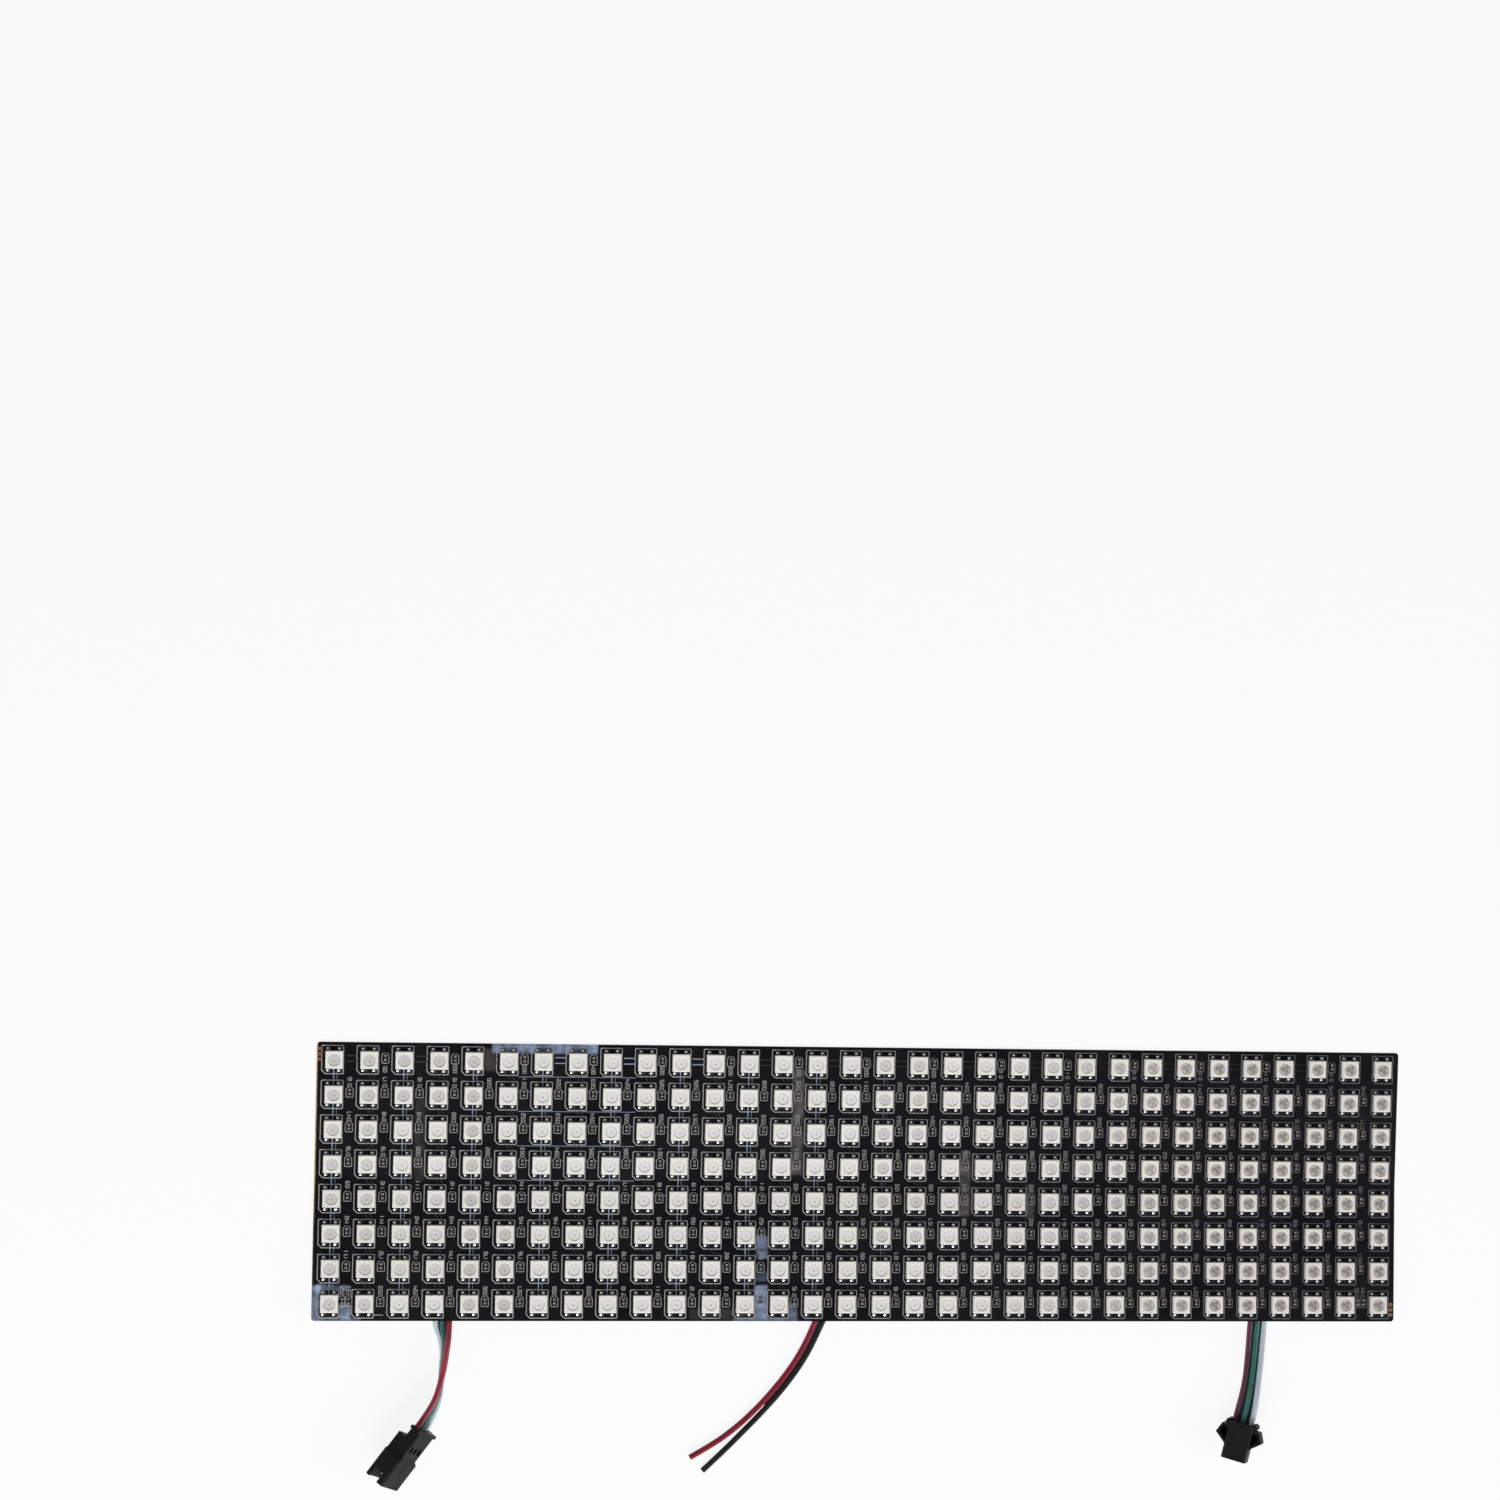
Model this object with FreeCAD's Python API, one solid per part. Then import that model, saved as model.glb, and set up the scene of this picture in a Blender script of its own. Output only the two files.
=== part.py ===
"""A flexible RGB LED matrix panel, 32 by 8 lights, lying face up with its three leads.

Millimetres. X runs along the long side and Y towards the edge that has no leads. Z is up, from
the surface that the panel lies on. The panel is one flexible board whose first rows lie flat. It
curls up a little towards the leads, which are soldered to its back. The left lead is a ribbon
with a receptacle, the right one a ribbon with a plug, and the middle one a pair with cut ends.
"""
import FreeCAD, Part
import math
import os

Vec = FreeCAD.Vector

# Light grid
columns = 32
rows = 8
pitch = 10.0

# Board: a laminated flexible sheet
board_thickness = 0.35
board_corner = 1.0
flat_rows = 4
bend_angle = 4.2
bend_run = 3.0

# Lights
light_side = 5.0
light_height = 1.6

# Chip capacitors and resistors
chip_length = 1.6
chip_width = 0.8
chip_height = 0.8
chip_shift_x = 4.6
chip_shift_y = 0.7
first_row_chip_shift_y = 0.6
pair_gap = 1.0

# Contacts at the two short edges
edge_pad_length = 1.3
edge_pad_width = 1.0
edge_pad_pitch = 1.5
edge_pad_margin = 0.4
edge_pad_first = 2.0
pad_thickness = 0.06

# Wires and their solder joints
core_diameter = 1.7
conductor_diameter = 0.75
bare_length = 3.2
ribbon_pad_width = 1.5
power_pad_width = 2.3
back_pad_length = 3.4
solder_length = 2.8
solder_past_tip = 0.3
solder_cover = 0.35
solder_taper = 0.3

# Both connectors: where the contacts are, and how far a wire goes in
contact_pitch = 2.5
wire_seat = 2.0
wire_hole = 1.9

# Receptacle
receptacle_length = 19.0
shroud_length = 9.6
shroud_width = 11.0
shroud_wall = 1.0
shroud_lift = 0.6
shroud_edge = 0.5
shoulder = 1.15
throat_length = 8.8
body_width = 8.6
body_height = 6.0
neck_length = 4.0
neck_height = 3.4
rim_length = 1.0
rim_width = 11.0
side_notch_width = 3.2
side_notch_length = 3.0
lance_length = 1.8
lance_width = 1.3
lance_depth = 0.7
lance_start = 5.4
pin_side = 0.64
pin_tip = 0.2
pin_reach = 6.5

# Plug
plug_length = 11.7
plug_width = 7.4
plug_height = 5.6
plug_edge = 0.5
plug_back = 0.6
lobe_radius = 1.0
lobe_place = 3.75
lobe_height = 4.4
ear_reach = 3.3
ear_start = 1.9
ear_shoulder = 2.0
ear_tip = 4.9
ear_end = 8.1
ear_height = 4.0
ear_wall = 0.8
ear_floor = 1.2
latch_width = 4.4
latch_thickness = 0.8
latch_gap = 0.5
latch_root = 1.4
latch_pad_rise = 0.4
latch_pad_length = 2.4
latch_hook = 0.6
socket_side = 1.5
socket_wall = 0.2
socket_slack = 0.05

# Routes by hand. A ribbon's point is x, y, z, its roll in degrees and the spacing of its cores.
# At a roll of 0 the ribbon is flat with its third core to the right of its first, seen along Y.
LEFT_RIBBON = [
    (-122.5, -35.0, 1.42, 180, 2.1),
    (-122.5, -38.7, 1.42, 180, 2.1),
    (-122.3, -42.2, 1.72, 156, 2.05),
    (-121.7, -45.6, 2.7, 118, 2.05),
    (-121.65, -49.4, 2.87, 101, 2.0),
    (-121.95, -52.9, 3.0, 97, 2.0),
    (-122.55, -57.2, 3.6, 86, 2.05),
    (-123.45, -62.3, 4.7, 70, 2.2),
    (-126.2, -67.9, 5.95, 55, 2.5),
    (-129.1, -71.85, 5.95, 55, 2.5),
]
RIGHT_RIBBON = [
    (119.1, -35.0, 1.42, 0, 2.1),
    (118.95, -38.9, 1.42, 0, 2.1),
    (118.6, -43.2, 1.65, -6, 2.05),
    (118.25, -47.7, 2.1, -12, 2.0),
    (117.75, -52.4, 2.85, -18, 2.0),
    (117.1, -57.1, 3.75, -23, 2.0),
    (116.2, -61.7, 4.7, -26, 2.2),
    (115.15, -66.35, 5.19, -27, 2.5),
    (114.1, -71.05, 5.19, -27, 2.5),
]
RED_POWER = [
    (-12.3, -35.0, 1.5),
    (-13.4, -39.2, 1.5),
    (-15.2, -43.9, 1.05),
    (-17.5, -48.9, 0.87),
    (-20.7, -54.2, 0.87),
    (-25.0, -59.9, 0.87),
    (-30.2, -65.8, 0.87),
    (-36.0, -71.3, 0.87),
    (-42.6, -76.3, 0.87),
    (-49.7, -80.3, 0.87),
]
BLACK_POWER = [
    (-9.4, -35.6, 1.5),
    (-11.45, -39.8, 1.5),
    (-13.45, -44.7, 1.05),
    (-15.85, -49.9, 0.87),
    (-19.25, -55.4, 0.87),
    (-23.6, -61.2, 0.87),
    (-28.9, -67.2, 0.87),
    (-34.6, -73.1, 0.87),
    (-40.2, -78.8, 0.87),
    (-45.9, -84.2, 0.87),
]

# Worked out from the sizes above
board_length = columns * pitch
board_width = rows * pitch
left_end = -board_length / 2
stretches = [
    (flat_rows * pitch - bend_run / 2, 0),
    (bend_run, bend_angle),
    (board_width - flat_rows * pitch - bend_run / 2, 0),
]


def follow_board(run, height=0.0):
    """How far back, how high and how steep the sheet is at 'run' from its flat edge.

    'height' is measured off its back, square to it.
    """
    back, rise, slope = 0.0, 0.0, 0.0
    for length, turn in stretches:
        step = min(length, run)
        if turn:
            radius = length / math.radians(turn)
            steeper = slope + math.radians(turn) * step / length
            back += radius * (math.sin(steeper) - math.sin(slope))
            rise += radius * (math.cos(slope) - math.cos(steeper))
            slope = steeper
        else:
            back += step * math.cos(slope)
            rise += step * math.sin(slope)
        run -= step
        if run <= 0:
            break
    return back - height * math.sin(slope), rise + height * math.cos(slope), slope


board_depth = follow_board(board_width)[0]


def board_point(run, height=0.0, x=0.0):
    """The same place as a point of the model, whose Y axis runs the other way."""
    back, rise, _ = follow_board(run, height)
    return Vec(x, board_depth / 2 - back, rise)


def on_board(shape, x, run, height=board_thickness):
    """Seats a shape that is drawn round its seat, +Y to the flat edge and +Z off the sheet."""
    slope = follow_board(run)[2]
    turn = FreeCAD.Rotation(Vec(1, 0, 0), -math.degrees(slope))
    placed = shape.copy()
    placed.Placement = FreeCAD.Placement(board_point(run, height, x), turn)
    return placed


def block(width, length, height, z=0.0):
    """A block centred in X and Y with its underside at z."""
    return Part.makeBox(width, length, height, Vec(-width / 2, -length / 2, z))


def span(x0, x1, y0, y1, z0, z1):
    """A block between two corners."""
    return Part.makeBox(x1 - x0, y1 - y0, z1 - z0, Vec(x0, y0, z0))


def prism(outline, z0, z1):
    """A flat outline in X and Y, raised from z0 to z1."""
    points = [Vec(x, y, z0) for x, y in outline]
    face = Part.Face(Part.makePolygon(points + points[:1]))
    return face.extrude(Vec(0, 0, z1 - z0))


def side_profile(outline, half_width):
    """An outline in Y and Z, drawn out along X to both sides."""
    points = [Vec(-half_width, y, z) for y, z in outline]
    face = Part.Face(Part.makePolygon(points + points[:1]))
    return face.extrude(Vec(2 * half_width, 0, 0))


def column_x(column):
    return left_end + pitch * (column + 0.5)


def row_run(row):
    return pitch * (row + 0.5)


def flexible_board():
    """The sheet's side view, with its gentle bend, drawn along X and rounded at the corners."""
    def side_line(height):
        edges, run = [], 0.0
        for length, turn in stretches:
            ends = [board_point(run + length * part, height, left_end) for part in (0, 0.5, 1)]
            arc = Part.Arc(*ends) if turn else Part.LineSegment(ends[0], ends[2])
            edges.append(arc.toShape())
            run += length
        return edges

    def across(run):
        low, high = (board_point(run, height, left_end) for height in (0, board_thickness))
        return Part.LineSegment(low, high).toShape()

    edges = side_line(0) + side_line(board_thickness) + [across(0), across(board_width)]
    section = Part.Face(Part.Wire(Part.__sortEdges__(edges)))
    sheet = section.extrude(Vec(board_length, 0, 0))
    corners = [edge for edge in sheet.Edges
               if abs(edge.Length - board_thickness) < 1e-4
               and abs(abs(edge.CenterOfMass.x) - board_length / 2) < 1e-4]
    return sheet.makeFillet(board_corner, corners)


def light_row(row):
    """One row of moulded light housings."""
    light = block(light_side, light_side, light_height)
    return [on_board(light, column_x(column), row_run(row)) for column in range(columns)]


def chip_row(row):
    """The capacitors of one row. The first row has one in every second gap, the others in each."""
    chip = block(chip_width, chip_length, chip_height)
    first = row == 0
    gaps = range(1, columns - 1, 2) if first else range(columns - 1)
    shift_y = first_row_chip_shift_y if first else chip_shift_y
    run = row_run(row) - shift_y
    return [on_board(chip, column_x(gap) + chip_shift_x - pair_shift(row, gap), run) for gap in gaps]


def has_pair(row, gap):
    """The first and the last gap of the last row hold a resistor beside the capacitor."""
    return row == rows - 1 and gap in (0, columns - 2)


def pair_shift(row, gap):
    return (chip_width + pair_gap) / 2 if has_pair(row, gap) else 0.0


def data_resistors():
    chip = block(chip_width, chip_length, chip_height)
    row = rows - 1
    run = row_run(row) - chip_shift_y
    return [on_board(chip, column_x(gap) + chip_shift_x + pair_shift(row, gap), run)
            for gap in (0, columns - 2)]


def edge_contacts(side):
    """Three copper contacts: at the flat edge's left corner, or at the lead edge's right one."""
    contact = block(edge_pad_length, edge_pad_width, pad_thickness)
    x = side * (board_length / 2 - edge_pad_margin - edge_pad_length / 2)
    runs = [edge_pad_first + edge_pad_pitch * number for number in range(3)]
    if side > 0:
        runs = [board_width - run for run in runs]
    return [on_board(contact, x, run) for run in runs]


def core_route(ribbon, lane):
    """The points of one core of a ribbon. Lanes -1, 0 and 1 are its first, middle and last core."""
    points = []
    for number, (x, y, z, roll, spacing) in enumerate(ribbon):
        start = min(number, len(ribbon) - 2)
        run_x = ribbon[start + 1][0] - ribbon[start][0]
        run_y = ribbon[start + 1][1] - ribbon[start][1]
        across = Vec(-run_y, run_x, 0).normalize() * math.cos(math.radians(roll))
        across.z = -math.sin(math.radians(roll))
        points.append(Vec(x, y, z) + across * (lane * spacing))
    return points


def wire_path(points):
    """Straight runs joined by tangent arcs, each as large as its two runs allow."""
    edges, radii, start = [], [], points[0]
    for before, corner, after in zip(points, points[1:], points[2:]):
        incoming = (before - corner).normalize()
        outgoing = (after - corner).normalize()
        half_turn = (math.pi - incoming.getAngle(outgoing)) / 2
        reach = 0.45 * min((before - corner).Length, (after - corner).Length)
        radii.append(reach / math.tan(half_turn))
        middle_way = (incoming + outgoing).normalize()
        middle = corner + middle_way * (radii[-1] / math.cos(half_turn) - radii[-1])
        arc_start, arc_end = corner + incoming * reach, corner + outgoing * reach
        edges.append(Part.LineSegment(start, arc_start).toShape())
        edges.append(Part.Arc(arc_start, middle, arc_end).toShape())
        start = arc_end
    edges.append(Part.LineSegment(start, points[-1]).toShape())
    return Part.Wire(edges), radii


def wire_tube(name, points):
    path, radii = wire_path(points)
    circle = Part.makeCircle(core_diameter / 2, points[0], points[1] - points[0])
    tube = path.makePipeShell([Part.Wire(circle)], True, True)
    ideal = math.pi * core_diameter ** 2 / 4 * path.Length
    print(f"{name}: length {path.Length:.1f}, smallest radius {min(radii):.1f}, "
          f"volume {tube.Volume / ideal:.4f} of section times length")
    return tube


def bare_conductor(points):
    """The stripped end that goes on from the start of a wire, under the board."""
    way = (points[0] - points[1]).normalize()
    return Part.makeCylinder(conductor_diameter / 2, bare_length, points[0], way)


def conductor_room(points):
    """An eight-sided sleeve that just holds the stripped end."""
    way = (points[0] - points[1]).normalize()
    reach = conductor_diameter / 2 / math.cos(math.pi / 8)
    turn = FreeCAD.Rotation(Vec(0, 0, 1), way)
    corners = [points[0] + turn.multVec(Vec(math.cos(angle), math.sin(angle), 0)) * reach
               for angle in (math.pi / 8 + math.pi / 4 * number for number in range(8))]
    return Part.Face(Part.makePolygon(corners + corners[:1])).extrude(way * bare_length)


def joint_place(points):
    """Where the middle of a solder joint is: its x, and how far down the board it lies."""
    way = (points[0] - points[1]).normalize()
    middle = points[0] + way * (bare_length + solder_past_tip - solder_length / 2)
    low, high = 0.0, board_width
    while high - low > 1e-6:
        run = (low + high) / 2
        low, high = (run, high) if board_point(run).y > middle.y else (low, run)
    return middle, (low + high) / 2


def back_pad(points, width):
    middle, run = joint_place(points)
    return on_board(block(width, back_pad_length, pad_thickness, -pad_thickness), middle.x, run, 0)


def solder_joint(points, width):
    """A lump between the pad and the conductor, which it covers at the sides and below."""
    middle, run = joint_place(points)
    drop = board_point(run).z - pad_thickness - middle.z + conductor_diameter / 2 + solder_cover

    def ring(half_width, half_length, z):
        cut = solder_taper
        outline = [(half_width - cut, half_length), (half_width, half_length - cut)]
        corners = outline + [(x, -y) for x, y in reversed(outline)]
        corners += [(-x, -y) for x, y in corners]
        ends = [Vec(x, y, z) for x, y in corners]
        return Part.makePolygon(ends + ends[:1])

    half_width, half_length = width / 2 - 0.02, solder_length / 2
    lump = Part.makeLoft([
        ring(half_width, half_length, -pad_thickness),
        ring(half_width - solder_taper, half_length - solder_taper, -pad_thickness - drop),
    ], True, True)
    return on_board(lump, middle.x, run, 0).cut(conductor_room(points))


def connector_place(ribbon, lane):
    """Sets a housing on the end of its ribbon: +Y out of its mouth and +X towards this lane."""
    before, last = (Vec(*point[:3]) for point in ribbon[-2:])
    ahead = (last - before).normalize()
    across = (core_route(ribbon, lane)[-1] - last).normalize()
    turn = FreeCAD.Rotation(across, ahead, across.cross(ahead), "XYZ")
    return FreeCAD.Placement(last - ahead * wire_seat, turn)


def place(shape, placement):
    placed = shape.copy()
    placed.Placement = placement
    return placed


def contact_places():
    return [contact_pitch * lane for lane in (-1, 0, 1)]


def wire_holes():
    way_in = Vec(0, 1, 0)
    return [Part.makeCylinder(wire_hole / 2, wire_seat, Vec(x, 0, 0), way_in)
            for x in contact_places()]


def chamfered(shape, size, picked):
    return shape.makeChamfer(size, [edge for edge in shape.Edges if picked(edge)])


def runs_along_y(edge):
    low, high = edge.BoundBox.YMin, edge.BoundBox.YMax
    return abs(edge.Length - (high - low)) < 1e-6


def receptacle_pins():
    """Square pins with blunt tips that stand in the shroud and meet their wires at the back."""
    pins = []
    back = receptacle_length - throat_length
    for x in contact_places():
        pin = span(x - pin_side / 2, x + pin_side / 2, wire_seat, back + pin_reach,
                   -pin_side / 2, pin_side / 2)
        tip = [edge for edge in pin.Edges if edge.BoundBox.YMin > back]
        pins.append(pin.makeChamfer(pin_tip, tip))
    return pins


def receptacle_housing():
    """A shroud round the pins, wider and higher than the body behind it, with a rim at the back."""
    half_height = body_height / 2
    shroud_start = receptacle_length - shroud_length
    top = half_height
    side = shroud_width / 2
    shroud = prism([(shoulder - side, shroud_start), (side - shoulder, shroud_start),
                    (side, shroud_start + shoulder), (side, receptacle_length),
                    (-side, receptacle_length), (-side, shroud_start + shoulder)],
                   -half_height, top + shroud_lift)
    shroud = chamfered(shroud, shroud_edge, runs_along_y)
    ramp = side_profile([(shroud_start, top), (shroud_start + shroud_lift, top + shroud_lift),
                         (shroud_start, top + shroud_lift)], shroud_width)
    body = span(-body_width / 2, body_width / 2, neck_length, shroud_start, -half_height, top)
    neck = span(-body_width / 2, body_width / 2, 0, neck_length, top - neck_height, top)
    rim = span(-rim_width / 2, rim_width / 2, 0, rim_length, top - neck_height, top)
    housing = shroud.cut(ramp).fuse([body, neck, rim]).removeSplitter()

    mouth = receptacle_length - throat_length
    throat = span(-shroud_width / 2 + shroud_wall, shroud_width / 2 - shroud_wall, mouth,
                  receptacle_length, -half_height + shroud_wall, top + shroud_lift - shroud_wall)
    notches = [span(min(0, side * shroud_width), max(0, side * shroud_width),
                    receptacle_length - side_notch_length, receptacle_length,
                    -side_notch_width / 2, side_notch_width / 2) for side in (-1, 1)]
    lances = [span(x - lance_width / 2, x + lance_width / 2, lance_start,
                   lance_start + lance_length, top - lance_depth, top) for x in contact_places()]
    return housing.cut([throat] + notches + lances + wire_holes() + receptacle_pins())


def plug_sockets():
    """Spring contacts, as square tubes that open at the mating face, with a closed back."""
    sockets = []
    outer = socket_side / 2 - socket_slack
    inner = outer - socket_wall
    for x in contact_places():
        tube = span(x - outer, x + outer, wire_seat, plug_length, -outer, outer)
        bore = span(x - inner, x + inner, plug_length / 2, plug_length, -inner, inner)
        sockets.append(tube.cut(bore))
    return sockets


def plug_ear(way):
    """A flared guard with a pocket, open to the side away from the latch."""
    side = plug_width / 2
    reach = side + ear_reach
    outer = [(side - plug_edge, ear_start), (side + ear_shoulder, ear_start),
             (reach, ear_tip), (side - plug_edge, ear_end)]
    inner = [(side, ear_start + ear_wall), (side + ear_shoulder - ear_wall / 2, ear_start + ear_wall),
             (reach - ear_wall * 1.4, ear_tip), (side, ear_end - ear_wall * 1.8)]
    outer, inner = ([(way * x, y) for x, y in outline] for outline in (outer, inner))
    high = ear_height / 2
    return prism(outer, -high, high).cut(prism(inner, -high, high - ear_floor))


def plug_housing():
    """A block with a latch arm on one face, a flared ear on each side and lobes at its back."""
    top = plug_height / 2
    side = plug_width / 2
    body = span(-side, side, plug_back, plug_length, -top, top)
    body = chamfered(body, plug_edge, runs_along_y)
    lobes = [Part.makeCylinder(lobe_radius, lobe_height,
                               Vec(way * lobe_place, lobe_radius, -lobe_height / 2))
             for way in (-1, 1)]

    arm_low = top + latch_gap
    arm_high = arm_low + latch_thickness
    half = latch_width / 2
    root = span(-half, half, plug_length - latch_root, plug_length, top - plug_edge, arm_high)
    arm = span(-half, half, 0, plug_length - latch_root, arm_low, arm_high)
    pad = side_profile([(0, arm_low), (0, arm_high + latch_pad_rise / 2),
                        (latch_pad_rise / 2, arm_high + latch_pad_rise),
                        (latch_pad_length - latch_pad_rise, arm_high + latch_pad_rise),
                        (latch_pad_length, arm_low + latch_thickness / 2)], half)
    hook_y = plug_length * 0.6
    hook = side_profile([(hook_y, arm_low + latch_thickness / 2), (hook_y, arm_high + latch_hook),
                         (hook_y + 2 * latch_hook, arm_high),
                         (hook_y + 2 * latch_hook, arm_low + latch_thickness / 2)], half)
    housing = body.fuse(lobes + [plug_ear(-1), plug_ear(1), root, arm, pad, hook]).removeSplitter()
    cavities = [span(x - socket_side / 2 + socket_slack, x + socket_side / 2 - socket_slack,
                     wire_seat, plug_length, -socket_side / 2 + socket_slack,
                     socket_side / 2 - socket_slack) for x in contact_places()]
    return housing.cut(cavities + wire_holes())


def save(name, solids):
    """Writes one node: a single solid, or a group of separate ones."""
    solids = solids if isinstance(solids, list) else [solids]
    shape = solids[0] if len(solids) == 1 else Part.makeCompound(solids)
    if not shape.isValid():
        print(name, "is not valid")
    shape.exportStep(f"parts/{name}.step")


def build():
    os.makedirs("parts", exist_ok=True)
    save("flexible_board", flexible_board())
    for row in range(rows):
        save(f"light_row_{row + 1}", light_row(row))
        save(f"capacitor_row_{row + 1}", chip_row(row))
    save("data_resistors", data_resistors())
    save("left_edge_contacts", edge_contacts(-1))
    save("right_edge_contacts", edge_contacts(1))

    colours = ("red", "green", "white")
    leads = {
        "left": {colour: core_route(LEFT_RIBBON, lane - 1) for lane, colour in enumerate(colours)},
        "right": {colour: core_route(RIGHT_RIBBON, lane - 1) for lane, colour in enumerate(colours)},
        "power": {"red": [Vec(*point) for point in RED_POWER],
                  "black": [Vec(*point) for point in BLACK_POWER]},
    }
    for lead, cores in leads.items():
        width = power_pad_width if lead == "power" else ribbon_pad_width
        routes = list(cores.values())
        save(f"{lead}_back_pads", [back_pad(route, width) for route in routes])
        save(f"{lead}_solder_joints", [solder_joint(route, width) for route in routes])
        save(f"{lead}_conductors", [bare_conductor(route) for route in routes])
        for colour, route in cores.items():
            save(f"{lead}_wire_{colour}", wire_tube(f"{lead}_wire_{colour}", route))

    left, right = connector_place(LEFT_RIBBON, -1), connector_place(RIGHT_RIBBON, 1)
    receptacle = place(receptacle_housing(), left)
    plug = place(plug_housing(), right)
    save("receptacle_housing", receptacle)
    save("receptacle_pins", [place(pin, left) for pin in receptacle_pins()])
    save("plug_housing", plug)
    save("plug_sockets", [place(socket, right) for socket in plug_sockets()])
    print(f"receptacle stands {receptacle.BoundBox.ZMin:.3f} off the surface, "
          f"plug {plug.BoundBox.ZMin:.3f}, board edge rises {follow_board(board_width)[1]:.2f}")


build()
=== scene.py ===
"""Dresses the flexible light panel: its board, lights, chips, marks, leads and connectors.

Sizes are in millimetres until a piece is finished. Pieces on the board are drawn flat first, with
Y = 0 at the edge without leads and Z = 0 on the board's face, and are then laid along its curl.
"""
import bpy
import bmesh
import math
from mathutils import Matrix, Vector


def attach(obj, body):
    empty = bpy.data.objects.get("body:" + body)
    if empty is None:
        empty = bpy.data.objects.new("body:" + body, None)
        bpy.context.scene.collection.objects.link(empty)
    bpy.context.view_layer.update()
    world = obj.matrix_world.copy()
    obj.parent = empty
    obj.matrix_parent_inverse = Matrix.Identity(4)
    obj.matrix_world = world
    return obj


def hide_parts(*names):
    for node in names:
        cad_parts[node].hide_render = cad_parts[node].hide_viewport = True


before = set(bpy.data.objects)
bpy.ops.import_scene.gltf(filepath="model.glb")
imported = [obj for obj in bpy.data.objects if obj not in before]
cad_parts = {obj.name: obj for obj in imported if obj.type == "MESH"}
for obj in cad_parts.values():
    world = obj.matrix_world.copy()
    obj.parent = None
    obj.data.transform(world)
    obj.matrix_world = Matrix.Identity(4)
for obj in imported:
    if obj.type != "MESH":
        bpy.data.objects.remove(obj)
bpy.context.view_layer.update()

# A millimetre in metres
MM = 0.001

# The board and its light grid, as in the part's source. A stretch of the board has a length and a
# turn in degrees, from the edge without leads on.
COLUMNS, ROWS, PITCH = 32, 8, 10.0
BOARD_THICKNESS = 0.35
STRETCHES = [(38.5, 0), (3.0, 4.2), (38.5, 0)]
LEFT_END = -COLUMNS * PITCH / 2
LIGHT_SIDE, LIGHT_HEIGHT = 5.0, 1.6
CHIP_SHIFT_X, CHIP_SHIFT_Y, FIRST_ROW_SHIFT_Y = 4.6, 0.7, 0.6
PAIR_SHIFT = 0.9

# The wires' lengths and routes, as in the part's source: x, y and z, for a ribbon also its roll in
# degrees and the spacing of its cores
CORE_DIAMETER = 1.7
LEFT_LENGTH, RIGHT_LENGTH, PAIR_LENGTH = 39.1, 36.8, 61.0
LEFT_RIBBON = [
    (-122.5, -35.0, 1.42, 180, 2.1),
    (-122.5, -38.7, 1.42, 180, 2.1),
    (-122.3, -42.2, 1.72, 156, 2.05),
    (-121.7, -45.6, 2.7, 118, 2.05),
    (-121.65, -49.4, 2.87, 101, 2.0),
    (-121.95, -52.9, 3.0, 97, 2.0),
    (-122.55, -57.2, 3.6, 86, 2.05),
    (-123.45, -62.3, 4.7, 70, 2.2),
    (-126.2, -67.9, 5.95, 55, 2.5),
    (-129.1, -71.85, 5.95, 55, 2.5),
]
RIGHT_RIBBON = [
    (119.1, -35.0, 1.42, 0, 2.1),
    (118.95, -38.9, 1.42, 0, 2.1),
    (118.6, -43.2, 1.65, -6, 2.05),
    (118.25, -47.7, 2.1, -12, 2.0),
    (117.75, -52.4, 2.85, -18, 2.0),
    (117.1, -57.1, 3.75, -23, 2.0),
    (116.2, -61.7, 4.7, -26, 2.2),
    (115.15, -66.35, 5.19, -27, 2.5),
    (114.1, -71.05, 5.19, -27, 2.5),
]
POWER_PAIR = {
    "red": [
        (-12.3, -35.0, 1.5),
        (-13.4, -39.2, 1.5),
        (-15.2, -43.9, 1.05),
        (-17.5, -48.9, 0.87),
        (-20.7, -54.2, 0.87),
        (-25.0, -59.9, 0.87),
        (-30.2, -65.8, 0.87),
        (-36.0, -71.3, 0.87),
        (-42.6, -76.3, 0.87),
        (-49.7, -80.3, 0.87),
    ],
    "black": [
        (-9.4, -35.6, 1.5),
        (-11.45, -39.8, 1.5),
        (-13.45, -44.7, 1.05),
        (-15.85, -49.9, 0.87),
        (-19.25, -55.4, 0.87),
        (-23.6, -61.2, 0.87),
        (-28.9, -67.2, 0.87),
        (-34.6, -73.1, 0.87),
        (-40.2, -78.8, 0.87),
        (-45.9, -84.2, 0.87),
    ],
}

# Painted glare and painted sheen on the board's gloss: middle, half size and strength of each
# patch
GLARE = [
    ((-159.2, -35.2), (1.5, 5.3), 0.42),
    ((-154.5, -30.5), (4.5, 0.7), 0.34),
    ((-150.5, -37.3), (1.6, 2.0), 0.5),
    ((-152.0, -39.6), (6.0, 0.7), 0.34),
    ((-157.3, -30.9), (1.4, 1.4), 0.4),
    ((-94.5, 38.7), (15.2, 1.5), 0.62),
    ((-30.1, -17.2), (1.7, 2.0), 0.38),
    ((-30.1, -20.6), (1.7, 1.2), 0.42),
    ((-30.1, -27.0), (1.7, 1.4), 0.14),
    ((-30.2, -34.4), (1.9, 4.8), 0.58),
    ((-20.8, -36.8), (1.3, 2.1), 0.3),
    ((-28.8, -39.7), (9.5, 0.6), 0.34),
]
PAINTED_SHEEN = [
    ((-20.4, 18.0), (1.7, 15.5), 0.2),
    ((29.7, 0.3), (1.5, 9.5), 0.2),
    ((49.2, -5.0), (1.3, 5.0), 0.13),
    ((-130.0, 12.0), (1.5, 12.0), 0.07),
    ((-110.2, 35.2), (1.7, 3.2), 0.12),
    ((-41.5, -37.9), (9.5, 1.5), 0.08),
]
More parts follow.
